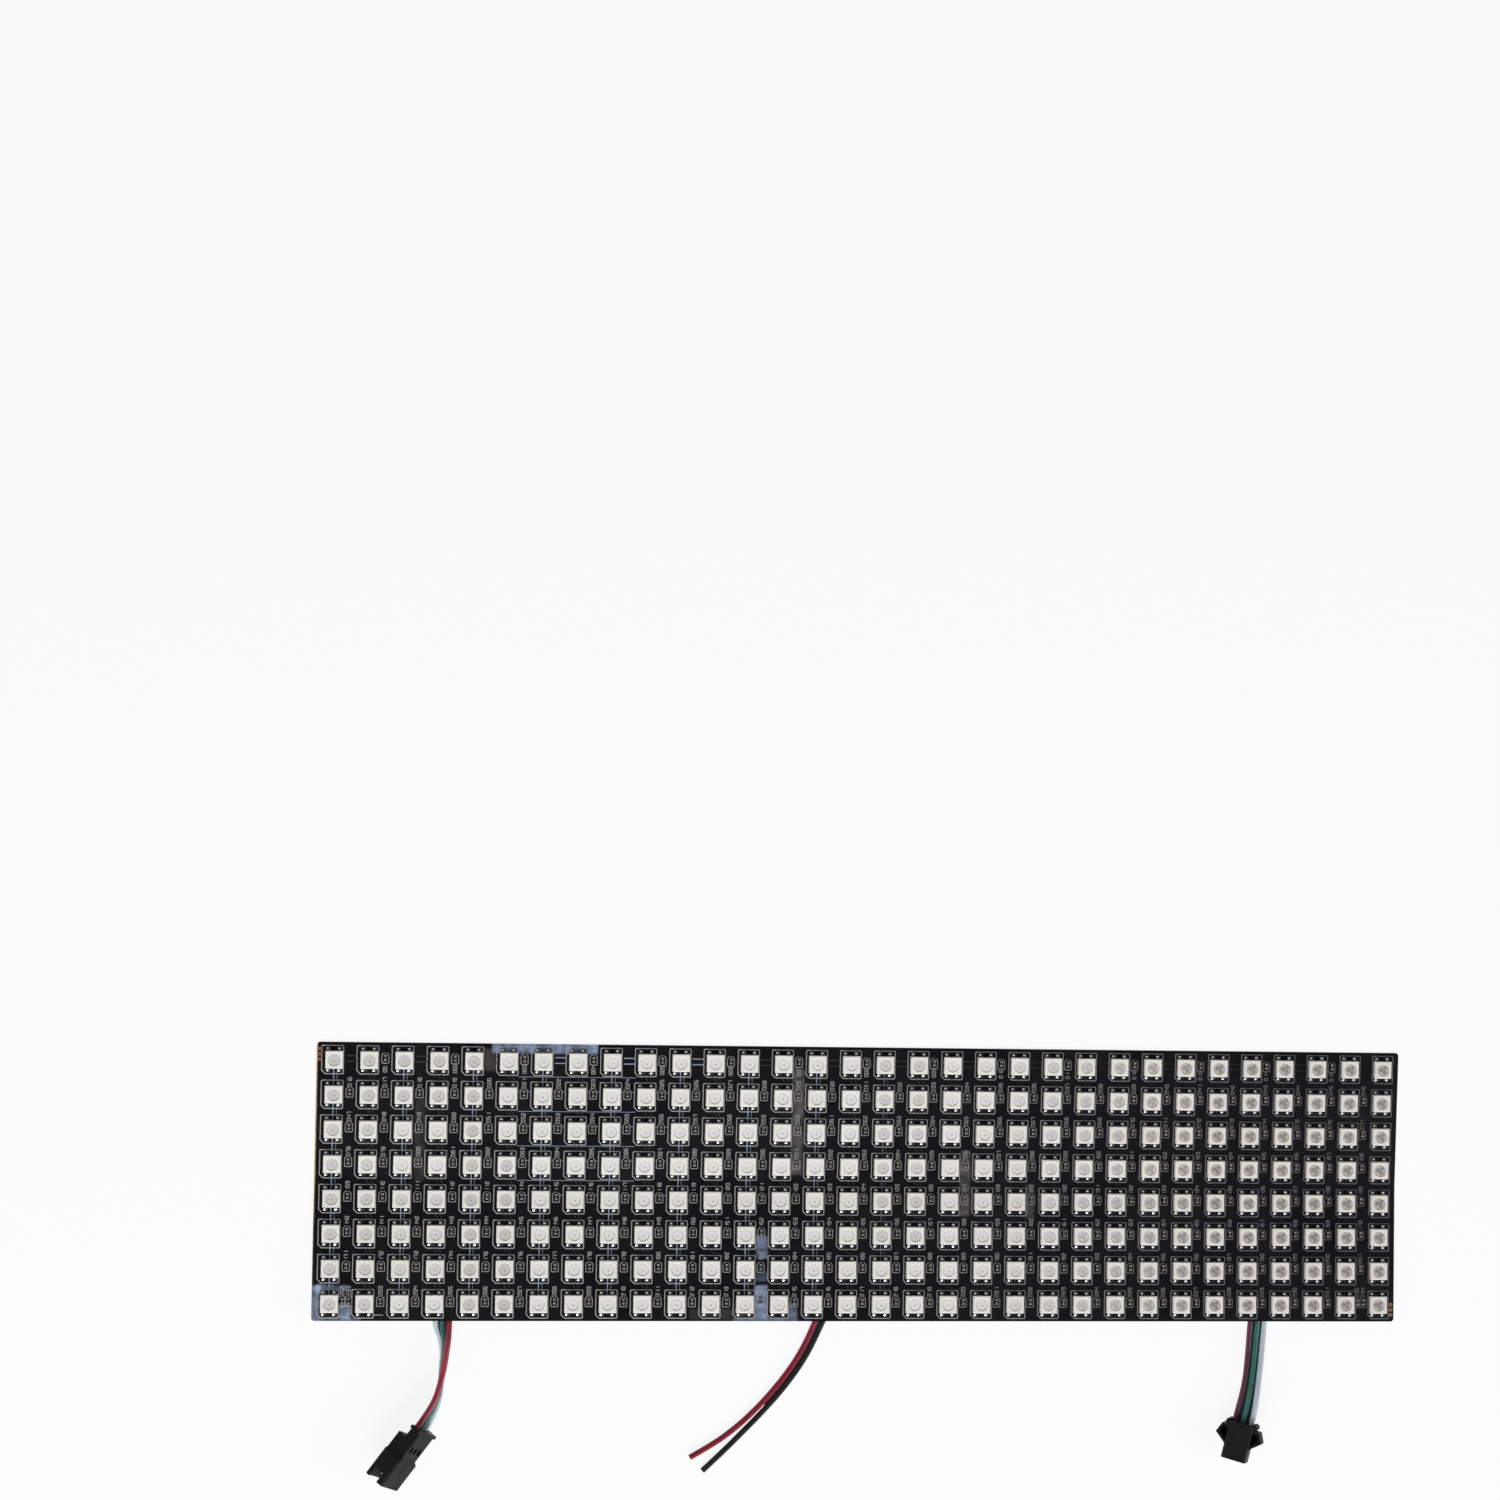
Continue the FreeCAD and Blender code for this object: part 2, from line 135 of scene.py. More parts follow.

# Where the painted sheen on the lights' windows is weaker, so that they look darker and show their
# chips, in the same way
LESS_WINDOW_SHEEN = [
    ((-136.0, 30.0), (25.0, 11.0), 0.5),
    ((-150.0, -10.0), (11.0, 30.0), 0.4),
    ((-130.0, -14.0), (9.0, 16.0), 0.25),
    ((-115.0, 0.0), (4.5, 41.0), 0.55),
    ((-105.0, -15.0), (4.5, 26.0), 0.55),
    ((10.0, 10.0), (9.5, 30.0), 0.42),
]

# In a light's window: radius, width and strength of the rings, and place and radius of the chips
RINGS = [(1.3, 0.16, 0.14), (1.72, 0.2, 0.42)]
PETALS = [((-0.62, 0.08, 0), 0.85), ((0.55, 0.6, 0), 0.75), ((0.34, -0.7, 0), 0.75)]

# A light's cup and moulded edge, and its leads: how far from the middle they are, and their sizes
WINDOW_RADIUS, WINDOW_DEPTH, CUP_FLARE = 1.78, 0.16, 1.06
HOUSING_EDGE = 0.12
LEAD_SHIFT = 1.6
LEAD_PAD, LEAD_TIP, SOLDER_LUMP = (1.15, 1.15, 0.04), (0.95, 0.6, 0.16), (0.46, 0.38, 0.3)

# A chip's body and its caps
CHIP_BODY, CHIP_CAP = (0.76, 0.9, 0.72), (0.8, 0.36, 0.78)

# The skin between two cores, the strands in a cut end, and the connectors' soft edges
SKIN_THICKNESS = 0.5
STRAND_RADIUS, STRAND_SHIFT = 0.14, 0.28
CONNECTOR_EDGE = 0.12

# The print on the board and the traces under its mask
INK_WIDTH, INK_HEIGHT = 0.26, 0.02
LIGHT_OUTLINE, LIGHT_OUTLINE_CUTS = (6.45, 8.4), (1.1, 0.35, 0.35, 0.35)
CHIP_OUTLINE, CHIP_OUTLINE_CUTS = (2.25, 3.1), (0.3, 0.3, 0.62, 0.62)
DIGIT_WIDTH, DIGIT_HEIGHT, DIGIT_PITCH, STROKE = 0.62, 1.05, 0.95, 0.2
NUMBER_SHIFT = 2.9
TRACE_HEIGHT = 0.012

# The stage, in metres, and how much of its own glow the floor shows
FLOOR_HALF, FLOOR_DEPTH = 3, 0.0001
FLOOR_GLOW = 0.88
LAMP_SIZE = 0.8


def follow_board(run, height=0.0):
    """How far back and how high a place on the curled sheet is, at 'run' from its flat edge."""
    back, rise, slope = 0.0, 0.0, 0.0
    for length, turn in STRETCHES:
        step = min(length, run)
        if turn:
            radius = length / math.radians(turn)
            steeper = slope + math.radians(turn) * step / length
            back += radius * (math.sin(steeper) - math.sin(slope))
            rise += radius * (math.cos(slope) - math.cos(steeper))
            slope = steeper
        else:
            back += step * math.cos(slope)
            rise += step * math.sin(slope)
        run -= step
        if run <= 0:
            break
    return back - height * math.sin(slope), rise + height * math.cos(slope)


BOARD_DEPTH = follow_board(ROWS * PITCH)[0]


def lay_on_board(shape):
    """Moves a flat drawing onto the curled board's face, in metres."""
    for vert in shape.verts:
        back, rise = follow_board(-vert.co.y, BOARD_THICKNESS + vert.co.z)
        vert.co = Vector((vert.co.x, BOARD_DEPTH / 2 - back, rise)) * MM


def finish_piece(shape, name, materials, nodes=()):
    """Makes a drawing an object that rides with the panel and stands for these nodes."""
    mesh = bpy.data.meshes.new(name)
    for face in shape.faces:
        face.smooth = False
    shape.to_mesh(mesh)
    shape.free()
    piece = bpy.data.objects.new(name, mesh)
    bpy.context.collection.objects.link(piece)
    for material in materials:
        mesh.materials.append(material)
    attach(piece, "root")
    if nodes:
        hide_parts(*nodes)
    return piece


def give_thickness(piece, thickness, offset=-1):
    solid = piece.modifiers.new("thickness", "SOLIDIFY")
    solid.thickness = thickness * MM
    solid.offset = offset


def of_kind(kind, made):
    return [item for item in made if isinstance(item, kind)]


def pull_edge(shape, edge):
    """Extrudes an edge and gives the new edge beyond it."""
    made = bmesh.ops.extrude_edge_only(shape, edges=[edge])["geom"]
    return next(item for item in of_kind(bmesh.types.BMEdge, made)
                if not set(item.verts) & set(edge.verts))


def second_material(shape, first_face):
    """Gives the faces from this one on the second of the piece's materials."""
    shape.faces.ensure_lookup_table()
    for face in shape.faces[first_face:]:
        face.material_index = 1


def repeat(pattern, places):
    """Copies of a small drawing at flat places on the board."""
    mesh = bpy.data.meshes.new("pattern")
    pattern.to_mesh(mesh)
    pattern.free()
    shape = bmesh.new()
    for place in places:
        known = len(shape.verts)
        shape.from_mesh(mesh)
        shape.verts.ensure_lookup_table()
        bmesh.ops.translate(shape, vec=(*place, 0), verts=shape.verts[known:])
    bpy.data.meshes.remove(mesh)
    return shape


def place_copies(pattern, places, name, materials, nodes=()):
    shape = repeat(pattern, places)
    lay_on_board(shape)
    return finish_piece(shape, name, materials, nodes)


def light_x(column):
    return LEFT_END + PITCH * (column + 0.5)


def light_y(row):
    return -PITCH * (row + 0.5)


def chip_gaps(row):
    """The gaps between lights that hold a capacitor."""
    return range(1, COLUMNS - 1, 2) if row == 0 else range(COLUMNS - 1)


def has_pair(row, gap):
    return row == ROWS - 1 and gap in (0, COLUMNS - 2)


def capacitor_places(row):
    shift_y = FIRST_ROW_SHIFT_Y if row == 0 else CHIP_SHIFT_Y
    return [(light_x(gap) + CHIP_SHIFT_X - (PAIR_SHIFT if has_pair(row, gap) else 0),
             light_y(row) + shift_y) for gap in chip_gaps(row)]


def resistor_places():
    return [(light_x(gap) + CHIP_SHIFT_X + PAIR_SHIFT, light_y(ROWS - 1) + CHIP_SHIFT_Y)
            for gap in (0, COLUMNS - 2)]


# Materials

def new_material(name, colour, roughness, metallic=0.0, specular=0.5):
    material = bpy.data.materials.new(name)
    material.use_nodes = True
    shader = material.node_tree.nodes["Principled BSDF"]
    shader.inputs["Base Color"].default_value = (*colour, 1)
    shader.inputs["Roughness"].default_value = roughness
    shader.inputs["Metallic"].default_value = metallic
    shader.inputs["Specular IOR Level"].default_value = specular
    return material


class Wiring:
    """Adds nodes to a material or to the world and joins them."""

    def __init__(self, owner):
        self.tree = owner.node_tree
        self.shader = self.tree.nodes.get("Principled BSDF")

    def node(self, kind, settings=None, **inputs):
        node = self.tree.nodes.new(kind)
        for name, value in (settings or {}).items():
            setattr(node, name, value)
        for name, value in inputs.items():
            self.feed(node.inputs[name.replace("_", " ")], value)
        return node

    def feed(self, socket, value):
        if isinstance(value, bpy.types.NodeSocket):
            self.tree.links.new(value, socket)
        else:
            socket.default_value = value

    def place(self):
        return self.node("ShaderNodeTexCoord").outputs["Object"]

    def noise(self, scale, detail, vector=None):
        return self.node("ShaderNodeTexNoise", Vector=vector or self.place(), Scale=scale,
                         Detail=detail, Roughness=0.5).outputs["Fac"]

    def spread(self, value, low, high, to_low=0.0, to_high=1.0, smooth=False):
        node = self.node("ShaderNodeMapRange",
                         {"interpolation_type": "SMOOTHSTEP" if smooth else "LINEAR"})
        for number, item in enumerate((value, low, high, to_low, to_high)):
            self.feed(node.inputs[number], item)
        return node.outputs["Result"]

    def blend(self, amount, first, second):
        node = self.node("ShaderNodeMix", {"data_type": "RGBA"})
        for socket, item in zip((node.inputs[0], node.inputs[6], node.inputs[7]),
                                (amount, first, second)):
            if isinstance(item, tuple):
                item = (*item, 1)
            self.feed(socket, item)
        return node.outputs[2]

    def math(self, operation, first, second=0.0, third=0.0):
        node = self.node("ShaderNodeMath", {"operation": operation})
        for number, item in enumerate((first, second, third)):
            self.feed(node.inputs[number], item)
        return node.outputs[0]

    def vector(self, operation, first, second=(0, 0, 0)):
        node = self.node("ShaderNodeVectorMath", {"operation": operation})
        self.feed(node.inputs[0], first)
        self.feed(node.inputs[1], second)
        return node

    def distance(self, first, point):
        return self.vector("DISTANCE", first, point).outputs["Value"]

    def split(self, value):
        return self.node("ShaderNodeSeparateXYZ", Vector=value).outputs

    def patch(self, sides, place, reach, soft=0.5):
        """1 within a rectangle round a place, and 0 outside it."""
        inside = 1.0
        for side, middle, half in zip(("X", "Y"), place, reach):
            offset = self.math("ABSOLUTE", self.math("SUBTRACT", sides[side], middle))
            within = self.spread(offset, half - soft, half + soft, 1.0, 0.0, smooth=True)
            inside = self.math("MULTIPLY", within, inside)
        return inside

    def enlarged_place(self, factor):
        node = self.vector("SCALE", self.place())
        node.inputs["Scale"].default_value = factor
        return node.outputs[0]

    def millimetres(self):
        return self.split(self.enlarged_place(1.0 / MM))

    def bump(self, height, strength, distance, normal=None):
        node = self.node("ShaderNodeBump", Height=height, Strength=strength, Distance=distance)
        if normal:
            self.feed(node.inputs["Normal"], normal)
        return node.outputs["Normal"]

    def surface(self, **inputs):
        """Feeds the material's shader."""
        for name, value in inputs.items():
            self.feed(self.shader.inputs[name.replace("_", " ")], value)


def board_mask_material():
    """Black solder mask, glossy and a little wavy, with painted glare and sheen, and amber cut
    ends.
    """
    film = (0.006, 0.006, 0.008)
    material = new_material("black_solder_mask", film, 0.3, specular=0.28)
    wiring = Wiring(material)
    sides = wiring.millimetres()
    streaks = wiring.spread(wiring.noise(330, 4), 0.35, 0.65, 0.45, 1.3)
    # Both kinds of patch are painted light: a brownish sheen and a bluish glare on the glossy
    # mask.
    for patches, colour in ((PAINTED_SHEEN, (0.40, 0.37, 0.34)), (GLARE, (0.36, 0.45, 0.66))):
        amount = 0.0
        for place, reach, strength in patches:
            amount = wiring.math("MULTIPLY_ADD", wiring.patch(sides, place, reach), strength,
                                 amount)
        film = wiring.blend(wiring.math("MULTIPLY", amount, streaks), film, colour)
    cut_ends = wiring.math("GREATER_THAN", wiring.math("ABSOLUTE", sides["X"]), -LEFT_END - 0.04)
    left_margin = wiring.math("MULTIPLY", wiring.math("LESS_THAN", sides["X"], LEFT_END + 0.35),
                              wiring.spread(sides["Y"], -14.0, 2.0, 0.1, 0.9))
    layers = wiring.spread(wiring.noise(900, 2), 0.3, 0.7)
    amber = wiring.blend(layers, (0.46, 0.27, 0.11), (0.66, 0.45, 0.22))
    waves = wiring.bump(wiring.noise(22, 2), 0.35, 0.0006)
    wiring.surface(
        Base_Color=wiring.blend(wiring.math("MAXIMUM", cut_ends, left_margin), film, amber),
        Roughness=wiring.spread(wiring.noise(35, 3), 0.3, 0.7, 0.24, 0.4),
        Normal=wiring.bump(wiring.noise(2600, 2), 0.12, 0.00002, waves))
    return material


def light_housing_material():
    """Creamy white moulded body, a little different in each light's cell of the grid, with painted
    shade that darkens it towards the right end.
    """
    material = new_material("white_light_housing", (0.84, 0.82, 0.77), 0.45)
    wiring = Wiring(material)
    cell = wiring.vector("FLOOR", wiring.enlarged_place(1.0 / (PITCH * MM)))
    own = wiring.node("ShaderNodeTexWhiteNoise", Vector=cell.outputs[0]).outputs["Value"]
    # Painted shade: the right-hand colours are the same body in less light, blended in from the
    # middle of the board to its right end.
    left = wiring.blend(own, (0.85, 0.825, 0.765), (0.90, 0.88, 0.83))
    right = wiring.blend(own, (0.76, 0.72, 0.67), (0.81, 0.775, 0.73))
    body = wiring.blend(wiring.spread(wiring.millimetres()["X"], 0.0, 150.0), left, right)
    dust = wiring.math("MULTIPLY", wiring.spread(wiring.noise(500, 3), 0.3, 0.7), 0.2)
    wiring.surface(Base_Color=wiring.blend(dust, body, (0.76, 0.73, 0.67)),
                   Normal=wiring.bump(wiring.noise(3000, 2), 0.1, 0.00002))
    return material


def light_window_material():
    """Resin with the dark chips under it, drawn by each light's own UV map, under a painted
    reflection that makes it milky and hides the chips, most at the left.
    """
    material = new_material("clear_resin_window", (0.62, 0.60, 0.57), 0.15)
    wiring = Wiring(material)
    own = wiring.node("ShaderNodeUVMap", {"uv_map": "light"}).outputs["UV"]
    sides = wiring.millimetres()
    # Painted reflection: the milky colour stands in for light on the resin; clear is 1 where it is
    # gone, towards the right end and in the patches.
    clear = wiring.spread(sides["X"], 30.0, 105.0)
    for place, reach, strength in LESS_WINDOW_SHEEN:
        patch = wiring.math("MULTIPLY", wiring.patch(sides, place, reach, 1.0), strength)
        clear = wiring.math("MAXIMUM", clear, patch)
    shown = wiring.blend(clear, (0.82, 0.81, 0.79), (0.53, 0.505, 0.48))
    centre = wiring.distance(own, (0.0, 0.0, 0.0))
    for radius, width, strength in RINGS:
        offset = wiring.math("ABSOLUTE", wiring.math("SUBTRACT", centre, radius))
        ring = wiring.spread(offset, 0.0, width, strength, 0.0, smooth=True)
        shown = wiring.blend(ring, shown, (0.30, 0.28, 0.26))
    petals = 0.0
    for point, radius in PETALS:
        petal = wiring.spread(wiring.distance(own, point), radius * 0.62, radius, 1.0, 0.0,
                              smooth=True)
        petals = wiring.math("MAXIMUM", petals, petal)
    # How far the chips show through the painted reflection, more towards the right end.
    petals_past_sheen = wiring.spread(wiring.math("ABSOLUTE", sides["X"]), 20.0, 105.0, 0.25, 0.85)
    petals_past_sheen = wiring.math("MULTIPLY", petals_past_sheen, wiring.spread(sides["X"], -20.0, 20.0, 0.2, 1.0))
    wear = wiring.spread(wiring.noise(2.2, 2, own), 0.4, 0.6, 0.72, 1.0)
    for part in (wiring.math("MULTIPLY", clear, petals_past_sheen), wear):
        petals = wiring.math("MULTIPLY", petals, part)
    shown = wiring.blend(petals, shown, (0.19, 0.175, 0.165))
    spot = wiring.spread(wiring.distance(own, (0.06, -0.3, 0)), 0.1, 0.36, 1.0, 0.0, smooth=True)
    spot = wiring.math("MULTIPLY", spot, wiring.spread(sides["X"], 20.0, 110.0, 0.66, 0.2))
    wiring.surface(Base_Color=wiring.blend(spot, shown, (0.16, 0.14, 0.14)), Coat_Weight=0.25)
    return material


def scaled(colour, factor):
    return tuple(part * factor for part in colour)


def print_material(name, left, right, fade, roughness=0.6):
    """Ink or a covered trace, which catches more light at the left than at the right."""
    material = new_material(name, left, roughness)
    wiring = Wiring(material)
    amount = wiring.spread(wiring.millimetres()["X"], *fade)
    tone = wiring.blend(amount, left, right)
    dark = wiring.blend(amount, scaled(left, 0.6), scaled(right, 0.5))
    wear = wiring.spread(wiring.noise(1800, 4), 0.3, 0.7, 0.0, 0.3)
    wiring.surface(Base_Color=wiring.blend(wear, tone, dark),
                   Normal=wiring.bump(wiring.noise(3000, 2), 0.2, 0.00002))
    return material


def plastic(name, colour, roughness, lighter=0.15, scale=400, grain=0.1, specular=0.5):
    """Moulded plastic or wire insulation, faintly uneven in tone and gloss."""
    material = new_material(name, colour, roughness, specular=specular)
    wiring = Wiring(material)
    tone = wiring.spread(wiring.noise(scale, 4), 0.3, 0.7)
    light = tuple(min(1, part * (1 + lighter) + 0.002) for part in colour)
    wiring.surface(Base_Color=wiring.blend(tone, scaled(colour, 1 - lighter), light),
                   Roughness=wiring.spread(wiring.noise(scale * 0.4, 3), 0.3, 0.7,
                                           roughness * 0.8, roughness * 1.25),
                   Normal=wiring.bump(wiring.noise(scale * 8, 2), grain, 0.00002))
    return material


def metal(name, colour, roughness, darker=0.25, scale=900):
    """Bare or plated metal with a cloudy tarnish; for the copper the strong contrast is also
    painted highlight and shade.
    """
    material = new_material(name, colour, roughness, metallic=1.0)
    wiring = Wiring(material)
    cloud = wiring.spread(wiring.noise(scale, 4), 0.35, 0.7)
    wiring.surface(Base_Color=wiring.blend(cloud, colour, scaled(colour, 1 - darker)),
                   Roughness=wiring.spread(cloud, 0, 1, roughness, min(1, roughness + 0.15)))
    return material


board_mask = board_mask_material()
light_housing = light_housing_material()
light_window = light_window_material()
tinned_lead = metal("tinned_lead", (0.78, 0.77, 0.75), 0.28)
# Painted shade: a darkened copy of the tinned lead for the lights' leads and pads, which sit in
# the shade of the light bodies.
shaded_lead = metal("tinned_lead_in_painted_shade", (0.2, 0.195, 0.195), 0.42, 0.4)
solder = metal("solder", (0.82, 0.82, 0.81), 0.22)
# The copper's strong cloudy contrast is partly tarnish and partly painted highlight and shade.
copper = metal("bare_copper_contact", (0.93, 0.55, 0.36), 0.3, 0.65, 1100)
gold = metal("gold_plating", (0.83, 0.62, 0.27), 0.25)
silk = print_material("white_silkscreen_ink", (0.38, 0.38, 0.375), (0.13, 0.13, 0.135), (-60, 130))
bright_trace = print_material("mask_over_bright_traces", (0.30, 0.36, 0.45), (0.02, 0.022, 0.026),
                              (-25, 20), 0.3)
dim_trace = print_material("mask_over_dim_traces", (0.05, 0.05, 0.055), (0.018, 0.018, 0.02),
                           (-60, 60), 0.3)
capacitor_body = plastic("brown_ceramic", (0.055, 0.042, 0.036), 0.5, 0.2, 1500)
resistor_body = plastic("black_resistor_glaze", (0.02, 0.02, 0.022), 0.35)
connector_plastic = plastic("black_nylon", (0.007, 0.007, 0.008), 0.5, 0.3, 700, 0.25, 0.12)
# The skin joins the cores as the ribbon's bond does; its near-black colour is painted shade
# between the cores.
shade_dark_web = plastic("cable_web_in_painted_shade", (0.010, 0.022, 0.022), 0.5, specular=0.2)
insulation = {
    "red": plastic("red_insulation", (0.30, 0.022, 0.045), 0.38),
    # A shaded copy of the red insulation: painted shade for the right ribbon's red core, which
    # lies lowest in its ribbon.
    "shaded_red": plastic("red_insulation_in_painted_shade", (0.10, 0.022, 0.042), 0.38),
    "green": plastic("green_insulation", (0.03, 0.14, 0.115), 0.36),
    "white": plastic("white_insulation", (0.50, 0.56, 0.63), 0.4, 0.06),
    "power_red": plastic("bright_red_insulation", (0.21, 0.0, 0.017), 0.36, 0.05),
    "power_black": plastic("black_insulation", (0.007, 0.007, 0.008), 0.38, specular=0.3),
}


# Camera, fitted to the photo's grid of lights

def place_camera():
    data = bpy.data.cameras.new("camera")
    data.lens = 83.359
    data.sensor_width = 36
    camera = bpy.data.objects.new("camera", data)
    bpy.context.collection.objects.link(camera)
    right = Vector((0.991768, 0.024996, 0.125585))
    up = Vector((-0.021308, 0.999304, -0.030631))
    back = right.cross(up)
    turn = Matrix((right, up, back)).transposed().to_4x4()
    camera.matrix_world = Matrix.Translation((-0.164382, 0.154097, 1.0)) @ turn
    bpy.context.scene.camera = camera


# Wires

def core_route(ribbon, lane):
    """The points of one core of a ribbon; lanes -1, 0 and 1 are its first, middle and last."""
    points = []
    for number, (x, y, z, roll, spacing) in enumerate(ribbon):
        start = min(number, len(ribbon) - 2)
        run = Vector(ribbon[start + 1][:2]) - Vector(ribbon[start][:2])
        across = Vector((-run.y, run.x, 0)).normalized() * math.cos(math.radians(roll))
        across.z = -math.sin(math.radians(roll))
        points.append(Vector((x, y, z)) + across * (lane * spacing))
    return points


def route_curve(name, points):
    curve = bpy.data.curves.new(name, "CURVE")
    curve.dimensions = "3D"
    curve.resolution_u = 12
    spline = curve.splines.new("NURBS")
    spline.points.add(len(points) - 1)
    for spot, point in zip(spline.points, points):
        spot.co = (*(Vector(point) * MM), 1)
    spline.order_u = 3
    spline.use_endpoint_u = True
    return curve


def wire(name, points, material):
    curve = route_curve(name, points)
    curve.bevel_depth = CORE_DIAMETER / 2 * MM
    curve.bevel_resolution = 5
    curve.use_fill_caps = True
    piece = bpy.data.objects.new(f"{name}_core", curve)
    bpy.context.collection.objects.link(piece)
    curve.materials.append(material)
    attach(piece, "root")
    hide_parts(name)


def smooth_line(points):
    """Places along the smooth line of a route, in metres."""
    curve = route_curve("line", points)
    holder = bpy.data.objects.new("line", curve)
    mesh = bpy.data.meshes.new_from_object(holder)
    places = [vert.co.copy() for vert in mesh.vertices]
    bpy.data.objects.remove(holder)
    bpy.data.curves.remove(curve)
    bpy.data.meshes.remove(mesh)
    return places


def skin(name, first, second, slot, share=1.0):
    """The thin skin that joins two cores, along this share of their length, coloured near black as
    painted shade between them.
    """
    lines = [smooth_line(points) for points in (first, second)]
    count = int(len(lines[0]) * share)
    stations = [(one.lerp(other, 0.35), one.lerp(other, 0.65)) for one, other in zip(*lines)]
    shape = bmesh.new()
    edge = shape.edges.new([shape.verts.new(place) for place in stations[0]])
    for before, after in zip(stations[:count], stations[1:count]):
        edge = pull_edge(shape, edge)
        verts = sorted(edge.verts, key=lambda vert: (vert.co - before[0]).length)
        verts[0].co, verts[1].co = after
    piece = finish_piece(shape, name, [shade_dark_web])
    give_thickness(piece, SKIN_THICKNESS, offset=0)
    return piece


def strands(name, points):
    """Seven copper strands in the cut end of a wire."""
    way = (Vector(points[-1]) - Vector(points[-2])).normalized()
    turn = way.to_track_quat("Z", "Y").to_matrix().to_4x4()
    end = Matrix.Translation(Vector(points[-1]) + way * 0.02) @ turn
    shape = bmesh.new()
    for number in range(7):
        round_middle = Matrix.Rotation(math.radians(60 * number), 4, "Z")
        aside = Matrix.Translation((STRAND_SHIFT if number else 0.0, 0, 0))
        bmesh.ops.create_circle(shape, cap_ends=True, segments=8, radius=STRAND_RADIUS,
                                matrix=end @ (round_middle @ aside))
    bmesh.ops.scale(shape, vec=(MM, MM, MM), verts=shape.verts)
    return finish_piece(shape, name, [copper])


def moulded_copy(node, name):
    """A copy of a moulded node with softened edges."""
    shape = bmesh.new()
    shape.from_mesh(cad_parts[node].data)
    bmesh.ops.remove_doubles(shape, verts=shape.verts, dist=1e-6)
    bmesh.ops.dissolve_limit(shape, angle_limit=math.radians(1), verts=shape.verts,
                             edges=shape.edges)
    piece = finish_piece(shape, name, [connector_plastic], [node])
    bevel = piece.modifiers.new("soft_edges", "BEVEL")
    bevel.width = CONNECTOR_EDGE * MM
    bevel.segments = 2
    bevel.limit_method = "ANGLE"
    bevel.angle_limit = math.radians(35)
    bevel.use_clamp_overlap = True
    return piece


def run_wires():
    receptacle = moulded_copy("receptacle_housing", "receptacle_shell")
    plug = moulded_copy("plug_housing", "plug_shell")
    ribbons = {
        "left": (LEFT_RIBBON, LEFT_LENGTH, [receptacle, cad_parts["receptacle_pins"]]),
        "right": (RIGHT_RIBBON, RIGHT_LENGTH, [plug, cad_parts["plug_sockets"]]),
    }
    for side, (ribbon, length, connector) in ribbons.items():
        routes = [core_route(ribbon, lane) for lane in (-1, 0, 1)]
        skins = [skin(f"{side}_skin_red_green", *routes[:2], "wire_green"),
                 skin(f"{side}_skin_green_white", *routes[1:], "wire_green")]
        for colour, route in zip(("red", "green", "white"), routes):
            # The right ribbon's red core gets the painted-shade copy of the red.
            shade = "shaded_red" if (side, colour) == ("right", "red") else colour
            wire(f"{side}_wire_{colour}", route, insulation[shade])
    pair_skin = skin("power_skin", *POWER_PAIR.values(), "power_black", 0.66)
    for colour, points in POWER_PAIR.items():
        cut_end = strands(f"power_strands_{colour}", points)
        wire(f"power_wire_{colour}", points, insulation[f"power_{colour}"])


# Lights

def square_ring(shape, edges, half, z):
    """Extrudes a round rim outwards onto a square outline at height z and gives its new edges."""
    made = bmesh.ops.extrude_edge_only(shape, edges=edges)["geom"]
    for vert in of_kind(bmesh.types.BMVert, made):
        widest = max(abs(vert.co.x), abs(vert.co.y))
        vert.co = Vector((vert.co.x / widest * half, vert.co.y / widest * half, z))
    return [edge for edge in of_kind(bmesh.types.BMEdge, made)
            if all(abs(vert.co.z - z) < 1e-6 for vert in edge.verts)]


def light_shape():
    """One light housing: a block with a round cup, and resin in the cup."""
    shape = bmesh.new()
    bottom = Matrix.Translation((0, 0, LIGHT_HEIGHT - WINDOW_DEPTH))
    bmesh.ops.create_circle(shape, cap_ends=True, segments=16, radius=WINDOW_RADIUS,
                            matrix=bottom)
    window = shape.faces[:]
    wall = bmesh.ops.extrude_edge_only(shape, edges=shape.edges[:])["geom"]
    rim_verts = of_kind(bmesh.types.BMVert, wall)
    bmesh.ops.scale(shape, vec=(CUP_FLARE, CUP_FLARE, 1), verts=rim_verts)
    bmesh.ops.translate(shape, vec=(0, 0, WINDOW_DEPTH), verts=rim_verts)
    rim = [edge for edge in of_kind(bmesh.types.BMEdge, wall)
           if all(vert in rim_verts for vert in edge.verts)]
    half = LIGHT_SIDE / 2
    shoulder = square_ring(shape, rim, half - HOUSING_EDGE, LIGHT_HEIGHT)
    corner = square_ring(shape, shoulder, half, LIGHT_HEIGHT - HOUSING_EDGE)
    foot = square_ring(shape, corner, half, 0.0)
    bmesh.ops.contextual_create(shape, geom=foot)
    for face in shape.faces:
        face.material_index = 0
    for face in window:
        face.material_index = 1
    bmesh.ops.recalc_face_normals(shape, faces=shape.faces)
    own = shape.loops.layers.uv.new("light")
    for face in shape.faces:
        for loop in face.loops:
            loop[own].uv = loop.vert.co.xy
    return shape


def block(shape, size, x, y, z, edge=0.0):
    """A block standing at z, with its edges taken off."""
    stretch = Matrix.Diagonal((*size, 1))
    move = Matrix.Translation((x, y, z + size[2] / 2))
    made = bmesh.ops.create_cube(shape, size=1, matrix=move @ stretch)["verts"]
    if edge:
        edges = list({link for vert in made for link in vert.link_edges})
        bmesh.ops.bevel(shape, geom=edges, offset=edge, segments=1, profile=0.5, affect="EDGES",
                        material=-1)


